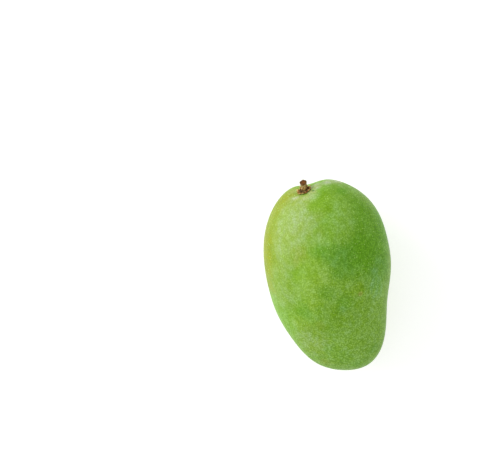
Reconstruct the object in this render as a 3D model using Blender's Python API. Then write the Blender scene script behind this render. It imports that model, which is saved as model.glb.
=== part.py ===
"""A whole green mango as picked, lying on its cheek.

Three pieces: the fruit, the woody stub of its stalk standing in a plain hole,
and the dry ragged calyx round the stub's foot. Metres, +Z up, resting on z = 0.

The form is worked out in the fruit's own frame: +Y towards the stalk, +X
towards the side with the beak, Z through the two cheeks. A direction there is
an angle in the X-Y plane, measured from +X, and a rise out of it towards +Z.
"""

import math

import bmesh
import bpy
from mathutils import Matrix, Vector

MM = 0.001

# Fruit: half sizes of the egg under the swellings
HALF_BREADTH = 40.5 * MM
HALF_LENGTH = 58.6 * MM
HALF_THICKNESS = 34.5 * MM
CHEEK_TAPER = 0.16  # cheeks fuller towards the stalk, leaner towards the tip
STALK_ANGLE = 93.5
STALK_RISE = 8.6

# Swellings and hollows: angle and rise in degrees, height, spread in degrees
SWELLINGS = {
    "beak": (282, 0, 9.1 * MM, 14.3),
    "heel": (251.7, 0, 4.3 * MM, 12.6),
    "sinus": (318.7, 0, -4.7 * MM, 22.7),
    "shoulder": (46.8, 0, 3.6 * MM, 17.8),
    "back": (174, 0, -1.8 * MM, 27.6),
    "stalk_hollow": (STALK_ANGLE, STALK_RISE, -2.6 * MM, 7.1),
    "crease": (88, -7, -3.1 * MM, 5.6),
}

FRUIT_SIDES = 64
FRUIT_ROWS = 56
ROW_CROWDING = 1.25  # rows stand closer together near the stalk

# Rest: the tip sinks until the weight is over the flat spot
REST_PITCH = 12  # degrees that the stalk end rises
FLAT_DEPTH = 0.4 * MM  # how much of the cheek the flat spot takes off

# Stalk: a broken stub, leaning a little, with its root sunk in the fruit
STUB_LENGTH = 5.8 * MM
STUB_RADIUS = 1.8 * MM
FOOT_RADIUS = 2.6 * MM
FOOT_HEIGHT = 1.6 * MM
KNOB_RADIUS = 0.35 * MM  # how far the broken top swells beyond the stub
KNOB_HEIGHT = 1.6 * MM
LEAN_SIDE = 0.12  # drift towards the beak's side for each unit of height
LEAN_FRONT = 0.16  # drift towards the upper cheek for each unit of height
BREAK_SLOPE = 0.35  # the broken top slopes towards the upper cheek
BREAK_RINGS = ((0.25 * MM, 0.8), (-0.1 * MM, 0.45))  # rise, share of the radius
BREAK_MIDDLE = -0.3 * MM  # rise of the dished middle
ROOT_RADIUS = 2.2 * MM
ROOT_DEPTH = 4.5 * MM
STALK_SIDES = 20
STALK_ROWS = 10
RIDGES = 5
RIDGE_HEIGHT = 0.08  # share of the radius
RIDGE_TWIST = 0.4 / MM  # radians for each unit of height

# Calyx: a thin ring of ragged scales that follows the skin
# How far each scale reaches beyond the neck, anticlockwise from the beak's side
SCALE_REACHES = [reach * MM for reach in (1.2, 1.5, 0.9, 1.7, 2.5, 1.5, 1.9, 1.2, 1.6, 1.0, 1.7)]
SCALE_SEGMENTS = 6
CALYX_ROWS = 4
CALYX_NECK = 3.3 * MM  # radius where the cuts between the scales end
SCALE_CURL = 0.16 / MM  # lift off the skin for each squared unit beyond the neck
SCALE_POINT = 0.8  # below 1 a scale is blunter, above 1 it is a thorn
CALYX_THICKNESS = (0.9 * MM, 0.6 * MM)  # at the inner edge and at the tips

CLEARANCE = 0.3 * MM  # between pieces that touch on the real fruit
HOLE_RADIUS = ROOT_RADIUS + CLEARANCE
HOLE_DEPTH = ROOT_DEPTH + CLEARANCE
CALYX_RADIUS = FOOT_RADIUS * (1 + RIDGE_HEIGHT) + CLEARANCE


def direction(angle, rise):
    """Unit vector at an angle in the X-Y plane and a rise towards +Z, in degrees."""
    a, e = math.radians(angle), math.radians(rise)
    return Vector((math.cos(e) * math.cos(a), math.cos(e) * math.sin(a), math.sin(e)))


LOBES = [
    (direction(angle, rise), height, math.radians(spread) ** 2)
    for angle, rise, height, spread in SWELLINGS.values()
]


def skin_radius(d):
    """Distance from the fruit's centre to its skin along the unit vector d."""
    thickness = HALF_THICKNESS * (1 + CHEEK_TAPER * d.y)
    egg = Vector((d.x / HALF_BREADTH, d.y / HALF_LENGTH, d.z / thickness))
    radius = 1 / egg.length
    for towards, height, spread in LOBES:
        radius += height * math.exp((d.dot(towards) - 1) / spread)
    return radius


STALK_AXIS = direction(STALK_ANGLE, STALK_RISE)
STALK_SIDE = STALK_AXIS.cross(Vector((0, 0, 1))).normalized()
STALK_FRONT = STALK_SIDE.cross(STALK_AXIS)
STALK_FOOT = STALK_AXIS * skin_radius(STALK_AXIS)


def around_stalk(angle):
    """Unit vector square to the stalk's axis, at an angle in radians round it."""
    return STALK_SIDE * math.cos(angle) + STALK_FRONT * math.sin(angle)


def skin_point(polar, angle):
    """Skin at a polar angle from the stalk's axis and an angle round it, in radians."""
    d = STALK_AXIS * math.cos(polar) + around_stalk(angle) * math.sin(polar)
    return d * skin_radius(d)


def turns(sides):
    """Equal steps of one turn, in radians."""
    return [2 * math.pi * i / sides for i in range(sides)]


def ring(bm, points):
    return [bm.verts.new(p) for p in points]


def bridge(bm, lower, upper):
    """Quads between two closed rings of the same count."""
    for i, corner in enumerate(lower):
        j = (i + 1) % len(lower)
        bm.faces.new((corner, lower[j], upper[j], upper[i]))


def fan(bm, loop, centre):
    """Triangles from a closed ring to one point."""
    point = bm.verts.new(centre)
    for i, corner in enumerate(loop):
        bm.faces.new((corner, loop[(i + 1) % len(loop)], point))


def make_piece(bm, name, colour, roughness):
    """Turns a closed bmesh into a named object with its own material."""
    bmesh.ops.recalc_face_normals(bm, faces=bm.faces)
    mesh = bpy.data.meshes.new(name)
    bm.to_mesh(mesh)
    bm.free()
    mesh.shade_smooth()
    mesh.set_sharp_from_angle(angle=math.radians(50))
    material = bpy.data.materials.new(name)
    material.use_nodes = True
    surface = material.node_tree.nodes["Principled BSDF"]
    surface.inputs["Base Color"].default_value = (*colour, 1)
    surface.inputs["Roughness"].default_value = roughness
    surface.inputs["Metallic"].default_value = 0
    mesh.materials.append(material)
    piece = bpy.data.objects.new(name, mesh)
    bpy.context.scene.collection.objects.link(piece)
    return piece


def share_to_skin(start, step):
    """Share of a step from a point inside the fruit at which it meets the skin."""
    low, high = 0.5, 1.5
    for _ in range(24):
        share = (low + high) / 2
        point = start + step * share
        if point.length < skin_radius(point.normalized()):
            low = share
        else:
            high = share
    return low


def flatten_cheek(bm, rest):
    """Cuts the cheek off level where the fruit meets the surface, with a true rim."""
    down = rest.to_3x3().transposed() @ Vector((0, 0, -1))
    lowest = max(v.co.dot(down) for v in bm.verts)
    cut = bmesh.ops.bisect_plane(
        bm,
        geom=bm.verts[:] + bm.edges[:] + bm.faces[:],
        plane_co=down * (lowest - FLAT_DEPTH),
        plane_no=down,
        clear_outer=True,
    )
    rim_edges = [e for e in cut["geom_cut"] if isinstance(e, bmesh.types.BMEdge)]
    rim = [v for v in cut["geom_cut"] if isinstance(v, bmesh.types.BMVert)]
    middle = sum((v.co for v in rim), Vector()) / len(rim)
    for v in rim:
        v.co = middle + (v.co - middle) * share_to_skin(middle, v.co - middle)
    bmesh.ops.contextual_create(bm, geom=rim_edges)


def make_fruit(rest):
    """Rings of skin from the stalk's hole to the point opposite, near the tip."""
    bm = bmesh.new()
    angles = turns(FRUIT_SIDES)
    hole_polar = HOLE_RADIUS / STALK_FOOT.length
    floor_centre = STALK_FOOT - STALK_AXIS * HOLE_DEPTH
    last = ring(bm, [floor_centre + around_stalk(a) * HOLE_RADIUS for a in angles])
    fan(bm, last, floor_centre)
    for row in range(FRUIT_ROWS):
        share = (row / FRUIT_ROWS) ** ROW_CROWDING
        polar = hole_polar + (math.pi - hole_polar) * share
        here = ring(bm, [skin_point(polar, a) for a in angles])
        bridge(bm, last, here)
        last = here
    fan(bm, last, skin_point(math.pi, 0))
    flatten_cheek(bm, rest)
    return make_piece(bm, "fruit", (0.21, 0.38, 0.07), 0.42)


def stub_radius(height):
    """Flared foot, slim middle and swollen broken top."""
    flare = (FOOT_RADIUS - STUB_RADIUS) * math.exp(-height / FOOT_HEIGHT)
    knob = KNOB_RADIUS * math.exp(-(((STUB_LENGTH - height) / KNOB_HEIGHT) ** 2))
    return STUB_RADIUS + flare + knob


def stub_point(height, angle, shrink=1.0):
    """Bark of the stub at a height above the skin and an angle round it."""
    fade = min(height / FOOT_HEIGHT, 1)
    ridge = 1 + RIDGE_HEIGHT * fade * math.sin(RIDGES * angle + RIDGE_TWIST * height)
    out = stub_radius(height) * ridge * shrink
    slope = BREAK_SLOPE * out * math.sin(angle) * height / STUB_LENGTH
    lean = (STALK_SIDE * LEAN_SIDE + STALK_FRONT * LEAN_FRONT) * height
    return STALK_FOOT + STALK_AXIS * (height - slope) + lean + around_stalk(angle) * out


def make_stalk():
    """A straight root, then rings up to the broken top, which is dished."""
    bm = bmesh.new()
    angles = turns(STALK_SIDES)
    root_end = STALK_FOOT - STALK_AXIS * ROOT_DEPTH
    last = ring(bm, [root_end + around_stalk(a) * ROOT_RADIUS for a in angles])
    fan(bm, last, root_end)
    here = ring(bm, [STALK_FOOT + around_stalk(a) * ROOT_RADIUS for a in angles])
    bridge(bm, last, here)
    last = here
    for row in range(1, STALK_ROWS + 1):
        height = STUB_LENGTH * row / STALK_ROWS
        here = ring(bm, [stub_point(height, a) for a in angles])
        bridge(bm, last, here)
        last = here
    for rise, shrink in BREAK_RINGS:
        here = ring(bm, [stub_point(STUB_LENGTH + rise, a, shrink) for a in angles])
        bridge(bm, last, here)
        last = here
    fan(bm, last, stub_point(STUB_LENGTH + BREAK_MIDDLE, 0, shrink=0))
    return make_piece(bm, "stalk", (0.16, 0.09, 0.045), 0.85)


def scale_edge(angle):
    """Outer radius of the calyx: pointed scales of uneven length."""
    turn = angle / (2 * math.pi) * len(SCALE_REACHES)
    from_middle = abs(turn % 1 - 0.5) * 2
    return CALYX_NECK + SCALE_REACHES[int(turn)] * (1 - from_middle) ** SCALE_POINT


def calyx_point(radius, angle, lift):
    """A point at a height over the skin and a radius from the stalk's axis."""
    beyond = max(radius - CALYX_NECK, 0)
    height = CLEARANCE + SCALE_CURL * beyond**2 + lift
    return skin_point(radius / STALK_FOOT.length, angle) + STALK_AXIS * height


def make_calyx():
    """A ring with a star-shaped edge, whose underside follows the skin."""
    inner_thickness, tip_thickness = CALYX_THICKNESS
    angles = turns(len(SCALE_REACHES) * SCALE_SEGMENTS)
    bm = bmesh.new()
    under, upper = [], []
    for row in range(CALYX_ROWS + 1):
        share = row / CALYX_ROWS
        thickness = inner_thickness + (tip_thickness - inner_thickness) * share
        radii = [CALYX_RADIUS + (scale_edge(a) - CALYX_RADIUS) * share for a in angles]
        under.append(ring(bm, [calyx_point(r, a, 0) for r, a in zip(radii, angles)]))
        upper.append(ring(bm, [calyx_point(r, a, thickness) for r, a in zip(radii, angles)]))
    for row in range(CALYX_ROWS):
        bridge(bm, under[row], under[row + 1])
        bridge(bm, upper[row + 1], upper[row])
    bridge(bm, upper[0], under[0])
    bridge(bm, under[-1], upper[-1])
    return make_piece(bm, "calyx", (0.25, 0.13, 0.06), 0.9)


def lay_down(pieces, rest):
    """Turns the pieces to rest on z = 0, with the middle of their box over the origin."""
    corners = [rest @ v.co for piece in pieces for v in piece.data.vertices]
    low = Vector([min(c[k] for c in corners) for k in range(3)])
    high = Vector([max(c[k] for c in corners) for k in range(3)])
    middle = (low + high) / 2
    holder = bpy.data.objects.new("mango", None)
    bpy.context.scene.collection.objects.link(holder)
    holder.matrix_world = Matrix.Translation((-middle.x, -middle.y, -low.z)) @ rest
    for piece in pieces:
        piece.parent = holder


def main():
    for obj in list(bpy.data.objects):
        bpy.data.objects.remove(obj)
    rest = Matrix.Rotation(math.radians(REST_PITCH), 4, "X")
    lay_down([make_fruit(rest), make_stalk(), make_calyx()], rest)


main()
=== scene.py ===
"""The looks of a whole green mango as picked. It lies on its cheek and the camera looks straight down.

The skin, the stalk's stub and the calyx repeat the solids' forms on fine meshes. As there, the form is
worked out in the fruit's own frame, in metres: +Y towards the stalk, +X towards the side with the beak,
Z through the two cheeks. A direction there is an angle in the X-Y plane from +X and a rise towards +Z.
"""

import math

import bpy
import numpy as np
from mathutils import Matrix, Vector, noise

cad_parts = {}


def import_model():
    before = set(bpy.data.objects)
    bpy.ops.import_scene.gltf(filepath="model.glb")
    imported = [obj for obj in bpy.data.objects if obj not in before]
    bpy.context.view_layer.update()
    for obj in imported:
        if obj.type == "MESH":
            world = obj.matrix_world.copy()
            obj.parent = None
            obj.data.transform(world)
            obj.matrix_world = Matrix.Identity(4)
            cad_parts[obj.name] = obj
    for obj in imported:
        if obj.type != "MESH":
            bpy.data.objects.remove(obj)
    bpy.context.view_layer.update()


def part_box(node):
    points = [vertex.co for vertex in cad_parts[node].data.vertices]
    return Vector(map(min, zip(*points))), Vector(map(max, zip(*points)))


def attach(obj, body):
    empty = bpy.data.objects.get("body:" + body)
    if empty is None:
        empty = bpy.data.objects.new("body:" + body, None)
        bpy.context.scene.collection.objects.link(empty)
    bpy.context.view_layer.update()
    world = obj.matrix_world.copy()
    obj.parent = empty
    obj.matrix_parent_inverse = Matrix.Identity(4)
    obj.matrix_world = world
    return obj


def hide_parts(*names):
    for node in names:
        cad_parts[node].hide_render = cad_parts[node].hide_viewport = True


MM = 0.001

# The photograph: its size in pixels, and the camera's height over the fruit's centre
PHOTO_SIZE = (500, 451)
FRUIT_PIXEL = (328.4, 270.95)  # the fruit's centre
FRUIT_LEAN = 14.15  # degrees that the stalk end leans to the left
PIXEL = 0.62 * MM  # at the height of the fruit's centre
CAMERA_HEIGHT = 700 * MM
SENSOR_WIDTH = 36  # in millimetres, as Blender takes it
VIEW_DEPTH = 20

# The fruit's form, as in the solids
HALF_BREADTH = 40.5 * MM
HALF_LENGTH = 58.6 * MM
HALF_THICKNESS = 34.5 * MM
CHEEK_TAPER = 0.16
STALK_ANGLE = 93.5
STALK_RISE = 8.6
SWELLINGS = {  # the direction's angle and rise, height, spread in degrees
    "beak": (282, 0, 9.1 * MM, 14.3),
    "heel": (251.7, 0, 4.3 * MM, 12.6),
    "sinus": (318.7, 0, -4.7 * MM, 22.7),
    "shoulder": (46.8, 0, 3.6 * MM, 17.8),
    "back": (174, 0, -1.8 * MM, 27.6),
    "stalk_hollow": (STALK_ANGLE, STALK_RISE, -2.6 * MM, 7.1),
    "crease": (88, -7, -3.1 * MM, 5.6),
}
REST_PITCH = 12  # degrees that the stalk end rises as the fruit lies
BOX_SIDES = 120  # the form is sampled this finely to find its box
BOX_ROWS = 90
SKIN_SIDES = 240
SKIN_ROWS = 200
ROW_CROWDING = 1.15
FLAT_SOFTNESS = 0.1 * MM  # how softly the skin bends into the flat spot
DENTS = {"broad": (24 * MM, 0.35 * MM), "small": (7 * MM, 0.1 * MM)}  # size across, depth
HOLE_RADIUS = 2.5 * MM
HOLE_DEPTH = 4.8 * MM

# The stalk's stub, as in the solids
STUB_LENGTH = 5.8 * MM
STUB_RADIUS = 1.8 * MM
FOOT_RADIUS = 2.6 * MM
FOOT_HEIGHT = 1.6 * MM
KNOB_RADIUS = 0.35 * MM
KNOB_HEIGHT = 1.6 * MM
LEAN_SIDE = 0.12
LEAN_FRONT = 0.16
BREAK_SLOPE = 0.35
ROOT_DEPTH = 4.5 * MM
ROOT_RADIUS = 2.2 * MM
RIDGES = 5
RIDGE_HEIGHT = 0.08
RIDGE_TWIST = 0.4 / MM

# The stub's fine forms, which the solids leave out
STUB_SIDES = 96
STUB_ROWS = 56
ROOT_TOP = 0.2 * MM  # below the skin
FIBRE_SIZE = 0.5 * MM
FIBRE_STRETCH = (1, 0.3, 1)
LUMP_SIZE = 1.3 * MM
FIBRE_DEPTH = 0.08 * MM
BREAK_RINGS = ((0.05, 0.93), (0.05, 0.8), (0, 0.65), (-0.1, 0.45), (-0.25, 0.25))  # rise in mm, shrink
BREAK_MIDDLE = 0.4 * MM  # below the top
SPLINTER_SIZE = 0.6 * MM
SPLINTER_HEIGHT = 0.18 * MM
SIDE_SHADE_HEIGHT = 1.6 * MM  # of the dark patch on the bark's right side, partly darker bark and partly painted shade

# The calyx, as in the solids
SCALE_REACHES = [reach * MM for reach in (1.2, 1.5, 0.9, 1.7, 2.5, 1.5, 1.9, 1.2, 1.6, 1.0, 1.7)]
CALYX_NECK = 3.3 * MM
SCALE_CURL = 0.16 / MM
SCALE_POINT = 0.8

# The calyx's fine forms, which the solids leave out
SCALE_LIFTS = [lift * MM for lift in (0.2, 0.7, 0, 0.5, 0.1, 0.6, 0.2, 0.8, 0, 0.5, 0.3)]
CALYX_INNER = 0.93 * FOOT_RADIUS
SIDES_PER_SCALE = 24
CALYX_ROWS = 15
WAVE_SIZE = 0.9 * MM
WAVE_HEIGHT = 0.12 * MM
CRUMBS = ((0.5 * MM, 0.2 * MM), (0.25 * MM, 0.1 * MM))  # size across, height

# The floor and the lights
FLOOR_HALF = 2.5
FLOOR_GREY = (0.7, 0.7, 0.7, 1)
FLOOR_GLOW = 0.56
WHITE = (1, 1, 1, 1)
ROOM_BRIGHTNESS = 0.68
KEY_DIRECTION = (-0.82, 0.32, 0.48)  # right, up and towards the camera
KEY_DISTANCE = 1.1
KEY_SIZE = 0.8
KEY_POWER = 8


def direction(angle, rise):
    """Unit vector at an angle in the X-Y plane and a rise towards +Z, in degrees."""
    a, e = math.radians(angle), math.radians(rise)
    return np.array((math.cos(e) * math.cos(a), math.cos(e) * math.sin(a), math.sin(e)))


def skin_radius(d):
    """Distance from the fruit's centre to its skin along unit vectors."""
    thickness = HALF_THICKNESS * (1 + CHEEK_TAPER * d[..., 1])
    egg = np.stack((d[..., 0] / HALF_BREADTH, d[..., 1] / HALF_LENGTH, d[..., 2] / thickness), -1)
    radius = 1 / np.linalg.norm(egg, axis=-1)
    for angle, rise, height, spread in SWELLINGS.values():
        radius += height * np.exp((d @ direction(angle, rise) - 1) / math.radians(spread) ** 2)
    return radius


STALK_AXIS = direction(STALK_ANGLE, STALK_RISE)
STALK_SIDE = np.cross(STALK_AXIS, (0, 0, 1))
STALK_SIDE /= np.linalg.norm(STALK_SIDE)
STALK_FRONT = np.cross(STALK_SIDE, STALK_AXIS)
FOOT_DISTANCE = float(skin_radius(STALK_AXIS))
STALK_FOOT = STALK_AXIS * FOOT_DISTANCE


def around_stalk(angles):
    """Unit vectors square to the stalk's axis, at angles in radians round it."""
    return np.outer(np.cos(angles), STALK_SIDE) + np.outer(np.sin(angles), STALK_FRONT)


def skin_points(polar, angles):
    """Skin at polar angles from the stalk's axis and angles round it, in radians."""
    polar = np.broadcast_to(polar, np.shape(angles))[:, None]
    d = STALK_AXIS * np.cos(polar) + around_stalk(angles) * np.sin(polar)
    return d * skin_radius(d)[:, None]


def turns(sides):
    """Equal steps of one turn, in radians."""
    return np.arange(sides) * 2 * math.pi / sides


def noises(points, size):
    """Smooth noise from -1 to 1 at each point, with features of that size."""
    return np.array([noise.noise(Vector(p) / size) for p in points])


def mesh_piece(name, rings, first=None, last=None):
    """A closed surface through rings of the same count, with a fan to a point at each end."""
    count = len(rings[0])
    points = np.concatenate(rings).tolist()
    faces = []
    for row in range(len(rings) - 1):
        for i in range(count):
            j = (i + 1) % count
            low, high = row * count, (row + 1) * count
            faces.append((low + i, low + j, high + j, high + i))
    if first is not None:
        points.append(list(first))
        faces += [((i + 1) % count, i, len(points) - 1) for i in range(count)]
    if last is not None:
        points.append(list(last))
        start = (len(rings) - 1) * count
        faces += [(start + i, start + (i + 1) % count, len(points) - 1) for i in range(count)]
    mesh = bpy.data.meshes.new(name)
    mesh.from_pydata(points, [], faces)
    mesh.shade_smooth()
    piece = bpy.data.objects.new(name, mesh)
    bpy.context.scene.collection.objects.link(piece)
    return piece


class Placing:
    """Takes points from the fruit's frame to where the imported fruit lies."""

    def __init__(self):
        self.turn = np.array(Matrix.Rotation(math.radians(REST_PITCH), 3, "X"))
        angles = turns(BOX_SIDES)
        polars = np.linspace(0, math.pi, BOX_ROWS)
        form = np.concatenate([skin_points(polar, angles) for polar in polars])
        form = form @ self.turn.T
        low, high = (np.array(corner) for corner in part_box("fruit"))
        size = form.max(0) - form.min(0)
        self.scale = (high - low) / size
        self.scale[2] = self.scale[:2].mean()  # the flat spot has taken some of the height
        self.shift = (high + low) / 2 - (form.max(0) + form.min(0)) / 2 * self.scale
        self.shift[2] = high[2] - form[:, 2].max() * self.scale[2]

    def __call__(self, points):
        return points @ self.turn.T * self.scale + self.shift


def srgb(red, green, blue):
    """A colour as the eye reads it, 0 to 255, as the linear colour that shaders take."""
    channels = [c / 255 for c in (red, green, blue)]
    return [c / 12.92 if c < 0.04 else ((c + 0.055) / 1.055) ** 2.4 for c in channels] + [1]


class Shader:
    """A material's nodes, with one short method for each kind."""

    def __init__(self, name):
        self.material = bpy.data.materials.new(name)
        self.material.use_nodes = True
        self.nodes = self.material.node_tree.nodes
        self.links = self.material.node_tree.links
        self.surface = self.nodes["Principled BSDF"]
        self.place = self.nodes.new("ShaderNodeTexCoord").outputs["Object"]

    def plug(self, socket, value):
        if isinstance(value, bpy.types.NodeSocket):
            self.links.new(value, socket)
        else:
            socket.default_value = value

    def maths(self, operation, a, b=0.0):
        node = self.nodes.new("ShaderNodeMath")
        node.operation = operation
        self.plug(node.inputs[0], a)
        self.plug(node.inputs[1], b)
        return node.outputs[0]

    def vector(self, operation, a, b, out="Vector"):
        node = self.nodes.new("ShaderNodeVectorMath")
        node.operation = operation
        self.plug(node.inputs[0], a)
        self.plug(node.inputs[1], b)
        return node.outputs[out]

    def noise(self, size, detail=2.0, where=None, stretch=(1, 1, 1), out="Fac"):
        """Noise with features of a size in metres, longer along an axis by its stretch."""
        node = self.nodes.new("ShaderNodeTexNoise")
        scale = [1 / (size * s) for s in stretch]
        where = self.place if where is None else where
        self.plug(node.inputs["Vector"], self.vector("MULTIPLY", where, scale))
        node.inputs["Scale"].default_value = 1
        node.inputs["Detail"].default_value = detail
        return node.outputs[out]

    def dots(self, size, out="Distance"):
        """Distance to the nearest of scattered points that lie about a size apart, in sizes."""
        node = self.nodes.new("ShaderNodeTexVoronoi")
        self.plug(node.inputs["Vector"], self.place)
        node.inputs["Scale"].default_value = 1 / size
        return node.outputs[out]

    def fade(self, value, start, end, at_start=0.0, at_end=1.0):
        """A smooth step from one level to another."""
        node = self.nodes.new("ShaderNodeMapRange")
        node.interpolation_type = "SMOOTHSTEP"
        self.plug(node.inputs["Value"], value)
        levels = {"From Min": start, "From Max": end, "To Min": at_start, "To Max": at_end}
        for socket, level in levels.items():
            node.inputs[socket].default_value = level
        return node.outputs["Result"]

    def mix(self, share, under, over, blend="MIX"):
        node = self.nodes.new("ShaderNodeMix")
        node.data_type = "RGBA"
        node.blend_type = blend
        self.plug(node.inputs[0], share)
        self.plug(node.inputs[6], under)
        self.plug(node.inputs[7], over)
        return node.outputs[2]

    def bump(self, height, depth, below=None):
        """Relief of a height from 0 to 1, as deep as depth in metres."""
        node = self.nodes.new("ShaderNodeBump")
        node.inputs["Distance"].default_value = depth
        self.plug(node.inputs["Height"], height)
        if below is not None:
            self.plug(node.inputs["Normal"], below)
        return node.outputs["Normal"]

    def finish(self, piece, colour, roughness, normal, **sockets):
        self.plug(self.surface.inputs["Base Color"], colour)
        self.plug(self.surface.inputs["Roughness"], roughness)
        self.plug(self.surface.inputs["Normal"], normal)
        for name, value in sockets.items():
            self.surface.inputs[name.replace("_", " ")].default_value = value
        piece.data.materials.append(self.material)


# Colours of the skin, as seen in flat light
LEAF = srgb(119, 169, 46)
PALE = srgb(132, 182, 68)
DEEP = srgb(98, 161, 26)
TEAL = srgb(98, 158, 46)
OLIVE = srgb(122, 170, 22)
LIME = srgb(138, 156, 22)
FRESH = srgb(140, 184, 62)
YELLOW = srgb(141, 158, 10)
# Pale waxy bloom; on the upper-left shoulder it also stands for painted highlight
BLOOM_AND_HIGHLIGHT = srgb(152, 180, 98)
MINT = srgb(118, 177, 86)
SAGE = srgb(145, 176, 91)
# Chalky wax; along the top rim it stands for a painted reflection of the white room
CHALK_AND_REFLECTION = srgb(172, 190, 130)
PORE = srgb(168, 212, 106)
SCAR = srgb(172, 158, 78)
DOT = srgb(80, 122, 60)

# Colours of the stub and the calyx
BARK = srgb(102, 66, 20)
BARK_FIBRE = srgb(178, 146, 84)
BARK_PATCH = srgb(212, 190, 132)
# Dark patch on the stub's right side: partly darker bark, partly painted shade of the side away from
# the light
DARK_BARK_AND_SHADE = srgb(58, 32, 8)
# Painted shade: near black where the stub's foot meets the skin and the scales
BARK_FOOT_SHADE = srgb(44, 24, 6)
BREAK_RIM = srgb(84, 44, 12)
BREAK_PITH = srgb(130, 74, 28)
# Near black at the scales' neck: partly darker brown, partly painted shade where the scales meet the
# stub
DARK_NECK_AND_SHADE = srgb(72, 38, 10)
SCALE_BROWN = srgb(164, 104, 44)
SCALE_TIP = srgb(230, 208, 136)
SCALE_SPOT = srgb(104, 58, 20)

# The skin's pattern
STREAKY = (1, 1.5, 1)  # most of it is longer along the fruit
BROAD_SIZE = 22 * MM
BROAD_STRETCH = (1, 1.8, 1)
FRAY_SIZE = 8 * MM  # of the noise that frays the patches
FRAY_SHARE = 2.2  # of a patch's radius
FRAY_MOST = 16 * MM
STREAK_SIZE = 0.35  # of the chalky streaks out from the stalk, on a ball of radius 1
STREAK_REACH = (5 * MM, 14 * MM)
UNSEEN_HEIGHTS = (14 * MM, 34 * MM)  # the underside's own blotches fade out between these
UNSEEN_BLOTCHES = ((17 * MM, DEEP, 0.7), (12 * MM, BLOOM_AND_HIGHLIGHT, 0.5), (21 * MM, LIME, 0.6))
COARSER_SIDE = (0.8, -0.6, 0)  # mottle and grain are stronger this way, towards the beak and the tip
COARSENING = (-50 * MM, 30 * MM)  # from where to where that way
MOTTLES = ((6 * MM, 0.7, 0.85), (2.6 * MM, 0.55, 1))  # size, least and most strength
MOTTLE_DARK = (0.94, 0.93, 0.64, 1)
MOTTLE_LIGHT = (1.12, 1.05, 1.5, 1)
SPECK_SPACING = 0.95 * MM
CLOUD_SIZE = 0.8 * MM
GRAIN_DARK = (0.74, 0.8, 0.55)
GRAIN_LIGHT = (1.42, 1.33, 1.75)
GRAIN_LEAST = 0.42
PORE_SPACING = 1.3 * MM
NEAR_SIDE = 100  # pixels that a patch's centre may miss by for each metre nearer to the camera

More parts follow.
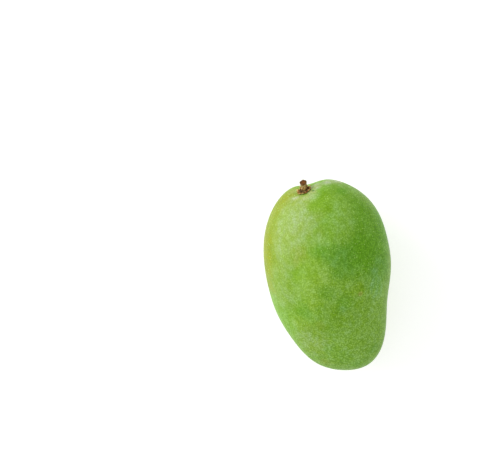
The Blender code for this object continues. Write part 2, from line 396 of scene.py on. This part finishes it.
# Patches on the side that the photograph shows: pixel, radius across the skin, colour, strength
PATCHES = {
    "left_flank": ((262, 244), 25 * MM, LIME, 0.95),
    "left_low": ((279, 288), 16 * MM, SAGE, 0.6),
    "left_rim": ((264, 238), 12 * MM, YELLOW, 0.7),
    "left_rim_low": ((265, 262), 12 * MM, YELLOW, 0.7),
    "left_rim_end": ((270, 285), 6 * MM, YELLOW, 0.6),
    "lime_shoulder": ((282, 200), 15 * MM, LIME, 0.9),
    "upper_left": ((286, 200), 8 * MM, YELLOW, 0.8),
    "upper_flank": ((275, 227), 5.5 * MM, YELLOW, 0.6),
    "deep_right": ((369, 250), 20 * MM, DEEP, 0.9),
    # Painted shade: darker along the right rim, where the skin turns from the light, over deep green
    "deep_green_and_shade_edge": ((383, 226), 15 * MM, DEEP, 0.8),
    "deep_upper": ((361, 212), 10 * MM, DEEP, 0.6),
    "deep_middle": ((340, 256), 13 * MM, TEAL, 0.8),
    # Painted highlight: these three stand for the key light's broad sheen on the upper-left shoulder,
    # over pale waxy bloom
    "highlight_and_bloom_shoulder": ((292, 222), 17 * MM, BLOOM_AND_HIGHLIGHT, 0.85),
    "highlight_and_bloom_flank": ((284, 254), 12 * MM, BLOOM_AND_HIGHLIGHT, 0.55),
    "highlight_and_bloom_top": ((301, 202), 8 * MM, BLOOM_AND_HIGHLIGHT, 0.7),
    "bloom_middle": ((312, 214), 8 * MM, BLOOM_AND_HIGHLIGHT, 0.3),
    "pale_right": ((338, 224), 10 * MM, PALE, 0.9),
    "pale_centre": ((314, 286), 13 * MM, FRESH, 0.75),
    "pale_low": ((362, 330), 17 * MM, PALE, 0.7),
    "pale_upper": ((338, 203), 6 * MM, PALE, 0.8),
    "olive_strip": ((321, 208), 6 * MM, OLIVE, 0.6),
    "olive_upper": ((327, 198), 5 * MM, OLIVE, 0.5),
    "dark_upper": ((344, 192), 4.5 * MM, DEEP, 0.7),
    "olive_middle": ((355, 289), 5 * MM, OLIVE, 0.6),
    "pale_speck": ((346, 285), 4 * MM, PALE, 0.35),
    "fresh_low": ((301, 324), 7 * MM, FRESH, 0.7),
    "dark_crescent": ((303, 311), 5 * MM, DEEP, 0.35),
    "lime_low": ((312, 306), 4 * MM, FRESH, 0.8),
    "lime_lower": ((320, 325), 4.5 * MM, LIME, 0.25),
    "dark_centre": ((321, 249), 4 * MM, DEEP, 0.5),
    "dark_low": ((327, 292), 6 * MM, TEAL, 0.5),
    "dark_lower": ((346, 301), 6 * MM, DEEP, 0.5),
    "dark_tip": ((331, 348), 5 * MM, DEEP, 0.3),
    "teal_edge": ((383, 268), 10 * MM, TEAL, 0.6),
    "streak_upper": ((379, 260), 4 * MM, MINT, 0.5),
    "streak_middle": ((375, 271), 4 * MM, MINT, 0.6),
    "streak_lower": ((377, 280), 4 * MM, MINT, 0.5),
    "streak_end": ((373, 287), 4 * MM, MINT, 0.55),
    "bluish_right": ((378, 289), 7 * MM, MINT, 0.5),
    "bluish_speck": ((343, 311), 4 * MM, MINT, 0.35),
    "bloom_heel": ((310, 342), 12 * MM, BLOOM_AND_HIGHLIGHT, 0.45),
    "bluish_beak": ((373, 350), 5 * MM, MINT, 0.4),
    "flank_low": ((299, 256), 7 * MM, LIME, 0.4),
    "fresh_middle": ((311, 264), 5 * MM, FRESH, 0.6),
    "deep_tip": ((344, 357), 6 * MM, DEEP, 0.3),
    "deep_end": ((358, 366), 8 * MM, DEEP, 0.5),
    "olive_tip": ((326, 362), 4 * MM, LIME, 0.3),
    # Painted reflection: the first three whiten the top rim, as the white room's reflection would
    "rim_reflection_ridge": ((337, 181), 4 * MM, CHALK_AND_REFLECTION, 0.8),
    "rim_reflection_top": ((328, 182), 3.5 * MM, CHALK_AND_REFLECTION, 0.75),
    "rim_reflection_rise": ((319, 185), 3 * MM, CHALK_AND_REFLECTION, 0.6),
    "chalk_crease": ((315, 187), 2.5 * MM, CHALK_AND_REFLECTION, 0.7),
    "chalk_foot": ((311, 192), 3 * MM, CHALK_AND_REFLECTION, 1),
    "chalk_under": ((304, 198), 2.5 * MM, CHALK_AND_REFLECTION, 0.7),
    "chalk_left": ((296, 198), 2.2 * MM, CHALK_AND_REFLECTION, 0.9),
    "scar": ((360, 293), 1.6 * MM, SCAR, 0.35),
    "dark_dot": ((312.9, 190.9), 1.0 * MM, DOT, 1),
}


def make_camera(placing):
    """Straight over the fruit, turned and set aside as the photograph frames it."""
    lean = math.radians(FRUIT_LEAN)
    right = Vector((math.cos(lean), -math.sin(lean), 0))
    up = Vector((math.sin(lean), math.cos(lean), 0))
    across = (PHOTO_SIZE[0] / 2 - FRUIT_PIXEL[0]) * PIXEL
    above = (FRUIT_PIXEL[1] - PHOTO_SIZE[1] / 2) * PIXEL
    centre = Vector(placing.shift)
    data = bpy.data.cameras.new("camera")
    data.sensor_width = SENSOR_WIDTH
    data.lens = SENSOR_WIDTH * (CAMERA_HEIGHT / PIXEL) / PHOTO_SIZE[0]
    data.clip_end = VIEW_DEPTH
    camera = bpy.data.objects.new("camera", data)
    turn = Matrix((right, up, (0, 0, 1))).transposed().to_4x4()
    place = centre + right * across + up * above + Vector((0, 0, CAMERA_HEIGHT))
    camera.matrix_world = Matrix.Translation(place) @ turn
    bpy.context.scene.collection.objects.link(camera)
    bpy.context.scene.camera = camera
    return camera


def pixels_of(points, camera):
    """Where points of the scene fall in the photograph."""
    from_camera = points - np.array(camera.matrix_world.translation)
    seen = from_camera @ np.array(camera.matrix_world)[:3, :3]
    pixels = seen[:, :2] / -seen[:, 2:] * CAMERA_HEIGHT / PIXEL
    return pixels * (1, -1) + np.array(PHOTO_SIZE) / 2


def make_skin(placing):
    """Rings of skin from the stalk's hole to the point opposite, near the tip."""
    angles = turns(SKIN_SIDES)
    hole_polar = HOLE_RADIUS / FOOT_DISTANCE
    floor_centre = STALK_FOOT - STALK_AXIS * HOLE_DEPTH
    wall = around_stalk(angles) * HOLE_RADIUS
    rings = [floor_centre + wall, STALK_FOOT - STALK_AXIS * MM + wall]
    for row in range(SKIN_ROWS):
        share = (row / SKIN_ROWS) ** ROW_CROWDING
        rings.append(skin_points(hole_polar + (math.pi - hole_polar) * share, angles))
    skin = np.concatenate(rings[2:])
    inward = sum(depth * (noises(skin, size) - 1) / 2 for size, depth in DENTS.values())
    skin += skin / np.linalg.norm(skin, axis=1)[:, None] * inward[:, None]
    rings[2:] = np.split(skin, SKIN_ROWS)
    rings = [placing(ring) for ring in rings]
    for ring in rings:
        ring[:, 2] = (ring[:, 2] + np.hypot(ring[:, 2], FLAT_SOFTNESS)) / 2
    tip = placing(skin_points(math.pi, [0]))[0]
    return mesh_piece("skin", rings, placing(floor_centre), tip)


def skin_material(piece, placing, camera):
    """Waxy mottled green with patches, pale pores and fine grain; a few patches are painted highlight,
    painted reflection and painted shade.
    """
    s = Shader("skin")
    broad = s.noise(BROAD_SIZE, 2, stretch=BROAD_STRETCH)
    colour = s.mix(s.fade(broad, 0.35, 0.65), LEAF, PALE)
    shift = s.noise(FRAY_SIZE, 4, stretch=STREAKY, out="Color")
    shift = s.vector("SUBTRACT", shift, (0.5, 0.5, 0.5))
    points = np.array([v.co for v in piece.data.vertices])
    pixels = pixels_of(points, camera)
    for pixel, radius, tint, strength in PATCHES.values():
        misses = np.linalg.norm(pixels - pixel, axis=1)
        centre = points[(misses - points[:, 2] * NEAR_SIDE).argmin()]
        reach = min(FRAY_SHARE * radius, FRAY_MOST)
        where = s.vector("ADD", s.place, s.vector("MULTIPLY", shift, (reach, reach, reach)))
        away = s.vector("DISTANCE", where, tuple(centre), "Value")
        colour = s.mix(s.fade(away, radius * 0.3, radius * 1.4, strength, 0), colour, tint)
    from_stalk = s.vector("SUBTRACT", s.place, tuple(placing(STALK_FOOT)))
    far = s.vector("LENGTH", from_stalk, (0, 0, 0), "Value")
    streaks = s.noise(STREAK_SIZE, 3, s.vector("NORMALIZE", from_stalk, (0, 0, 0)))
    near = s.fade(far, *STREAK_REACH, 1, 0)
    streaks = s.fade(streaks, 0.45, 0.62, 0, 0.45)
    colour = s.mix(s.maths("MULTIPLY", near, streaks), colour, CHALK_AND_REFLECTION)
    height = s.vector("DOT_PRODUCT", s.place, (0, 0, 1), "Value")
    unseen = s.fade(height, *UNSEEN_HEIGHTS, 1, 0)
    for size, tint, strength in UNSEEN_BLOTCHES:
        blotch = s.fade(s.noise(size, 3, stretch=STREAKY), 0.48, 0.62, 0, strength)
        colour = s.mix(s.maths("MULTIPLY", unseen, blotch), colour, tint)
    towards_tip = s.vector("DOT_PRODUCT", s.place, COARSER_SIDE, "Value")
    for size, least, most in MOTTLES:
        tone = s.fade(s.noise(size, 2, stretch=STREAKY), 0.33, 0.67)
        tint = s.mix(tone, MOTTLE_DARK, MOTTLE_LIGHT)
        strength = s.fade(towards_tip, *COARSENING, least, most)
        colour = s.mix(strength, colour, tint, "MULTIPLY")
    specks = s.maths("SUBTRACT", 1, s.dots(SPECK_SPACING))
    cloud = s.noise(CLOUD_SIZE, 3)
    grain = s.maths("ADD", s.maths("MULTIPLY", cloud, 0.4), s.maths("MULTIPLY", specks, 0.4))
    dark = s.vector("MULTIPLY", colour, GRAIN_DARK)
    light = s.vector("MULTIPLY", colour, GRAIN_LIGHT)
    grained = s.mix(s.fade(grain, 0.29, 0.59), dark, light)
    colour = s.mix(s.fade(towards_tip, *COARSENING, GRAIN_LEAST, 1), colour, grained)
    pore = s.fade(s.dots(PORE_SPACING), 0.15, 0.36, 1, 0)
    luck = s.vector("DOT_PRODUCT", s.dots(PORE_SPACING, "Color"), (1, 0, 0), "Value")
    shown = s.maths("MULTIPLY", pore, s.fade(luck, 0.4, 1, 0, 0.9))
    colour = s.mix(shown, colour, PORE)
    roughness = s.fade(broad, 0.3, 0.7, 0.36, 0.44)
    normal = s.bump(grain, 0.03 * MM)
    normal = s.bump(pore, 0.05 * MM, normal)
    s.finish(piece, colour, roughness, normal, Specular_IOR_Level=0.08)


def stub_points(heights, angles, shrink=1.0):
    """Bark of the stub at heights above the skin and angles round it, before its relief."""
    heights = np.broadcast_to(heights, angles.shape)
    flare = (FOOT_RADIUS - STUB_RADIUS) * np.exp(-heights / FOOT_HEIGHT)
    knob = KNOB_RADIUS * np.exp(-(((STUB_LENGTH - heights) / KNOB_HEIGHT) ** 2))
    fade = np.clip(heights / FOOT_HEIGHT, 0, 1)
    ridge = 1 + RIDGE_HEIGHT * fade * np.sin(RIDGES * angles + RIDGE_TWIST * heights)
    out = (STUB_RADIUS + flare + knob) * ridge * shrink
    slope = BREAK_SLOPE * out * np.sin(angles) * heights / STUB_LENGTH
    lean = np.outer(heights, STALK_SIDE * LEAN_SIDE + STALK_FRONT * LEAN_FRONT)
    along = np.outer(heights - slope, STALK_AXIS)
    return STALK_FOOT + along + lean + around_stalk(angles) * out[:, None]


def make_stub(placing):
    """The root, then fibrous bark up to the broken top."""
    angles = turns(STUB_SIDES)
    root_end = STALK_FOOT - STALK_AXIS * ROOT_DEPTH
    root = around_stalk(angles) * ROOT_RADIUS
    rings = [placing(root_end + root), placing(STALK_FOOT - STALK_AXIS * ROOT_TOP + root)]
    for row in range(STUB_ROWS + 1):
        height = STUB_LENGTH * row / STUB_ROWS
        ring = stub_points(height, angles)
        fibres = noises(ring * FIBRE_STRETCH, FIBRE_SIZE) + 0.6 * noises(ring, LUMP_SIZE)
        relief = FIBRE_DEPTH * (fibres - 1.2)
        rings.append(placing(ring + around_stalk(angles) * relief[:, None]))
    for rise, shrink in BREAK_RINGS:
        ring = stub_points(STUB_LENGTH + rise * MM, angles, shrink)
        rough = SPLINTER_HEIGHT * (noises(ring, SPLINTER_SIZE) - 0.8)
        rings.append(placing(ring + np.outer(rough, STALK_AXIS)))
    middle = stub_points(STUB_LENGTH - BREAK_MIDDLE, turns(1), 0)[0]
    return mesh_piece("stub", rings, placing(root_end), placing(middle))


def bark_material(piece, placing):
    """Fibrous brown bark with a reddish broken top, near black at the foot as painted shade, and dark
    on one side, partly darker bark and partly painted shade.
    """
    s = Shader("bark")
    foot, top = placing(STALK_FOOT), placing(stub_points(STUB_LENGTH, turns(1), 0)[0])
    shade_spot = placing(stub_points(SIDE_SHADE_HEIGHT, turns(1)))[0]
    to_shade_spot = s.vector("DISTANCE", s.place, tuple(shade_spot), "Value")
    to_foot = s.vector("DISTANCE", s.place, tuple(foot), "Value")
    to_top = s.vector("DISTANCE", s.place, tuple(top), "Value")
    fibres = s.noise(0.35 * MM, 3, stretch=(1, 4, 1))
    blotch = s.noise(1.1 * MM, 2)
    colour = s.mix(s.fade(fibres, 0.38, 0.62), BARK, BARK_FIBRE)
    colour = s.mix(s.fade(blotch, 0.5, 0.64, 0, 0.7), colour, BARK_PATCH)
    # Painted shade on the stub's right side, over partly darker bark
    colour = s.mix(s.fade(to_shade_spot, 0.6 * MM, 1.9 * MM, 0.85, 0), colour, DARK_BARK_AND_SHADE)
    # Painted shade at the stub's foot, between it and the scales
    colour = s.mix(s.fade(to_foot, 2.0 * MM, 3.0 * MM, 0.95, 0), colour, BARK_FOOT_SHADE)
    colour = s.mix(s.fade(to_top, 1.7 * MM, 2.9 * MM, 0.9, 0), colour, BREAK_RIM)
    colour = s.mix(s.fade(to_top, 0.4 * MM, 1.5 * MM, 0.75, 0), colour, BREAK_PITH)
    normal = s.bump(fibres, 0.12 * MM)
    s.finish(piece, colour, 0.8, normal, Specular_IOR_Level=0.15)


def make_calyx(placing):
    """A ring of ragged scales, as sections round the stalk that close on themselves."""
    angles = turns(len(SCALE_REACHES) * SIDES_PER_SCALE)
    turn = angles / (2 * math.pi) * len(SCALE_REACHES)
    from_middle = np.abs(turn % 1 - 0.5) * 2
    point = (1 - from_middle) ** SCALE_POINT
    edges = CALYX_NECK + np.array(SCALE_REACHES)[turn.astype(int)] * point
    lifts = np.array(SCALE_LIFTS)[turn.astype(int)] * point
    under, upper = [], []
    for share in np.linspace(0, 1, CALYX_ROWS):
        radii = CALYX_INNER + (edges - CALYX_INNER) * share
        ring = skin_points(radii / FOOT_DISTANCE, angles)
        beyond = np.maximum(radii - CALYX_NECK, 0)
        wave = WAVE_HEIGHT * (1 + noises(ring, WAVE_SIZE))
        lift = SCALE_CURL * beyond**2 + lifts * share**2 + wave
        thickness = (1 - 0.65 * share) * MM * (1 - 0.55 * from_middle)
        under.append(placing(ring + np.outer(lift, STALK_AXIS)))
        crumbs = sum(height * noises(ring, size) for size, height in CRUMBS)
        upper.append(placing(ring + np.outer(lift + thickness + crumbs, STALK_AXIS)))
    rings = under + upper[::-1]
    return mesh_piece("scales", rings + rings[:1])


def calyx_material(piece, placing):
    """Dry reddish brown with tan crumbling tips, near black at the neck, partly darker brown and partly
    painted shade where the scales meet the stub.
    """
    s = Shader("dry_scales")
    away = s.vector("DISTANCE", s.place, tuple(placing(STALK_FOOT)), "Value")
    blotch = s.noise(0.9 * MM, 2)
    # Painted shade at the neck beside the stub, over darker brown
    colour = s.mix(s.fade(away, 2.9 * MM, 4.2 * MM), DARK_NECK_AND_SHADE, SCALE_BROWN)
    tips = s.maths("MULTIPLY", s.fade(blotch, 0.42, 0.6), s.fade(away, 3.2 * MM, 4.6 * MM, 0.2, 1))
    colour = s.mix(tips, colour, SCALE_TIP)
    colour = s.mix(s.fade(s.noise(0.8 * MM, 1), 0.55, 0.66, 0, 0.8), colour, SCALE_SPOT)
    normal = s.bump(s.noise(0.3 * MM, 3), 0.1 * MM)
    s.finish(piece, colour, 0.85, normal, Specular_IOR_Level=0.15)


def make_stage():
    """A plain pale floor that shines a little, as a light table does."""
    half = FLOOR_HALF
    corners = [(-half, -half, 0), (half, -half, 0), (half, half, 0), (-half, half, 0)]
    mesh = bpy.data.meshes.new("floor")
    mesh.from_pydata(corners, [], [(0, 1, 2, 3)])
    floor = bpy.data.objects.new("floor", mesh)
    bpy.context.scene.collection.objects.link(floor)
    s = Shader("floor")
    s.surface.inputs["Base Color"].default_value = FLOOR_GREY
    s.surface.inputs["Roughness"].default_value = 0.9
    s.surface.inputs["Specular IOR Level"].default_value = 0.1
    s.surface.inputs["Emission Color"].default_value = WHITE
    s.surface.inputs["Emission Strength"].default_value = FLOOR_GLOW
    mesh.materials.append(s.material)


def add_area_light(name, camera, towards, distance, size, power):
    """A soft square light in a direction given as right, up and towards the camera."""
    data = bpy.data.lights.new(name, "AREA")
    data.shape = "SQUARE"
    data.size = size
    data.energy = power
    light = bpy.data.objects.new(name, data)
    axes = camera.matrix_world.to_3x3()
    way = (axes @ Vector(towards)).normalized()
    turn = way.to_track_quat("Z", "Y").to_matrix().to_4x4()
    light.matrix_world = Matrix.Translation(way * distance) @ turn
    light.visible_camera = False
    bpy.context.scene.collection.objects.link(light)


def make_light(camera):
    """A white room with one large soft light from the upper left."""
    world = bpy.data.worlds.new("room")
    world.use_nodes = True
    background = world.node_tree.nodes["Background"]
    background.inputs["Color"].default_value = WHITE
    background.inputs["Strength"].default_value = ROOM_BRIGHTNESS
    bpy.context.scene.world = world
    add_area_light("key", camera, KEY_DIRECTION, KEY_DISTANCE, KEY_SIZE, KEY_POWER)


def set_view():
    view = bpy.context.scene.view_settings
    view.view_transform = "Standard"
    view.look = "None"
    view.exposure = 0
    view.gamma = 1


def main():
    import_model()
    set_view()
    placing = Placing()
    camera = make_camera(placing)
    skin = make_skin(placing)
    skin_material(skin, placing, camera)
    stub = make_stub(placing)
    bark_material(stub, placing)
    scales = make_calyx(placing)
    calyx_material(scales, placing)
    finishes = ((skin, "fruit", "skin"), (stub, "stalk", "stalk_wood"), (scales, "calyx", "dry_calyx"))
    for piece, node, slot in finishes:
        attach(piece, "root")
        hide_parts(node)
    make_stage()
    make_light(camera)


main()
